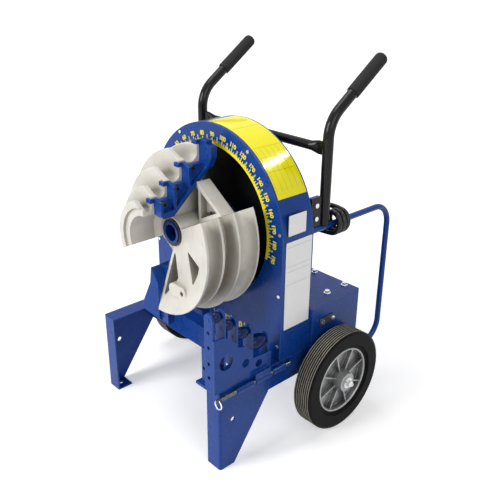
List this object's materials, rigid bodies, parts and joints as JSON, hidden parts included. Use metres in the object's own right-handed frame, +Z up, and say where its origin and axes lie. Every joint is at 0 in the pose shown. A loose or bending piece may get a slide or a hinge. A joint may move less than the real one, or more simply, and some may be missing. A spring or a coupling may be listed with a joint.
{
  "type": "electric pipe bender",
  "caption": "Wheeled electric pipe bender: arched tower with dial, grooved two-part bending shoe with hooks, swing-out roller support, push handles.",
  "frame": {"origin": "on the floor, midway between the two anchor holes in the feet", "axes": "+X to the roller support's side, +Y from the shoe to the handles, +Z up"},
  "size_m": [0.834, 0.7745, 1.123],
  "materials": {
    "blue_paint": "gloss powder coat",
    "dark_blue": "gloss enamel",
    "black_paint": "gloss powder coat",
    "dark_grey_paint": "satin",
    "cast_cream": "painted casting",
    "steel": "machined",
    "black_steel": "black oxide",
    "zinc": "zinc plated",
    "chrome": "polished",
    "tyre_rubber": "matt",
    "rim_grey": "moulded",
    "grip_rubber": "matt",
    "cable_rubber": "matt",
    "control_plastic": "moulded",
    "green_button": "moulded",
    "red_button": "moulded",
    "motor_grey": "painted",
    "gearbox_grey": "painted"
  },
  "bodies": {
    "frame": {"left_leg": "blue_paint", "right_leg": "blue_paint", "base_tray": "blue_paint", "tower_shell": "blue_paint", "dial_plate": "blue_paint", "back_cover": "blue_paint", "panel_screws": "zinc", "drum_liner": "black_paint", "bearing_plates": "steel", "shaft_bearings": "steel", "hinge_knuckles": "blue_paint", "drive_housing": "blue_paint", "housing_lid": "blue_paint", "housing_bolts": "chrome", "side_plates": "dark_grey_paint", "power_inlet": "control_plastic", "gearbox": "gearbox_grey", "motor": "motor_grey", "control_box": "dark_grey_paint", "axle": "zinc", "axle_brackets": "blue_paint", "axle_collars": "zinc", "split_pins": "zinc", "handles": "black_paint", "grips": "grip_rubber", "cross_tube": "black_paint", "handle_brackets": "black_paint", "handle_bolts": "zinc", "stand_tubes": "blue_paint", "stand_brackets": "blue_paint", "pendant": "control_plastic", "holder": "dark_grey_paint", "control_cable": "cable_rubber", "cable_gland": "control_plastic"},
    "shoe": {"main_shaft": "dark_blue", "shaft_keys": "steel", "retaining_ring": "black_steel", "drive_gear": "steel", "small_shoe": "cast_cream", "large_shoe": "cast_cream", "shoe_bolts": "black_steel", "hook_bar": "blue_paint", "hook_screws": "black_steel", "large_hook": "blue_paint", "large_hook_bolts": "black_steel"},
    "pinion": {"pinion": "steel"},
    "roller_support": {"roller_bracket": "blue_paint", "roller_axles": "steel"},
    "roller_1": {"roller_1": "dark_blue"},
    "roller_2": {"roller_2": "dark_blue"},
    "roller_3": {"roller_3": "dark_blue"},
    "roller_4": {"roller_4": "dark_blue"},
    "hinge_pin": {"hinge_pin": "steel"},
    "pin_ring": {"pin_ring": "chrome"},
    "left_wheel": {"left_tyre": "tyre_rubber", "left_rim": "rim_grey"},
    "right_wheel": {"right_tyre": "tyre_rubber", "right_rim": "rim_grey"},
    "bend_button": {"bend_button": "green_button"},
    "return_button": {"return_button": "red_button"}
  },
  "joints": [
    {"name": "shoe_turn", "type": "hinge", "parent": "frame", "child": "shoe", "pos_m": [0, 0, 0.638], "axis": [0, 1, 0], "continuous": true},
    {"name": "pinion_turn", "type": "hinge", "parent": "frame", "child": "pinion", "pos_m": [0, 0, 0.338], "axis": [0, 1, 0], "continuous": true},
    {"name": "support_swing", "type": "hinge", "parent": "frame", "child": "roller_support", "pos_m": [0.304, 0, 0.257], "axis": [0, 1, 0], "range_deg": [0, 100]},
    {"name": "pin_slide", "type": "slide", "parent": "frame", "child": "hinge_pin", "axis": [0, -1, 0], "range_m": [0, 0.3]},
    {"name": "ring_swing", "type": "hinge", "parent": "hinge_pin", "child": "pin_ring", "pos_m": [0.304, -0.039, 0.257], "axis": [1, 0, 0], "range_deg": [-80, 20]},
    {"name": "left_wheel_turn", "type": "hinge", "parent": "frame", "child": "left_wheel", "pos_m": [0, 0.399, 0.164], "axis": [1, 0, 0], "continuous": true},
    {"name": "right_wheel_turn", "type": "hinge", "parent": "frame", "child": "right_wheel", "pos_m": [0, 0.399, 0.164], "axis": [1, 0, 0], "continuous": true},
    {"name": "bend_button_press", "type": "slide", "parent": "frame", "child": "bend_button", "axis": [0, -1, 0], "range_m": [0, 0.004], "stiffness_N_per_m": 400},
    {"name": "return_button_press", "type": "slide", "parent": "frame", "child": "return_button", "axis": [0, -1, 0], "range_m": [0, 0.004], "stiffness_N_per_m": 400},
    {"name": "roller_1_turn", "type": "hinge", "parent": "roller_support", "child": "roller_1", "pos_m": [0.272, 0, 0.499], "axis": [0, 1, 0], "continuous": true},
    {"name": "roller_2_turn", "type": "hinge", "parent": "roller_support", "child": "roller_2", "pos_m": [0.272, 0, 0.46], "axis": [0, 1, 0], "continuous": true},
    {"name": "roller_3_turn", "type": "hinge", "parent": "roller_support", "child": "roller_3", "pos_m": [0.272, 0, 0.414], "axis": [0, 1, 0], "continuous": true},
    {"name": "roller_4_turn", "type": "hinge", "parent": "roller_support", "child": "roller_4", "pos_m": [0.272, 0, 0.363], "axis": [0, 1, 0], "continuous": true}
  ],
  "couplings": [
    {"joint": "pinion_turn", "follows": "shoe_turn", "ratio": -4}
  ]
}
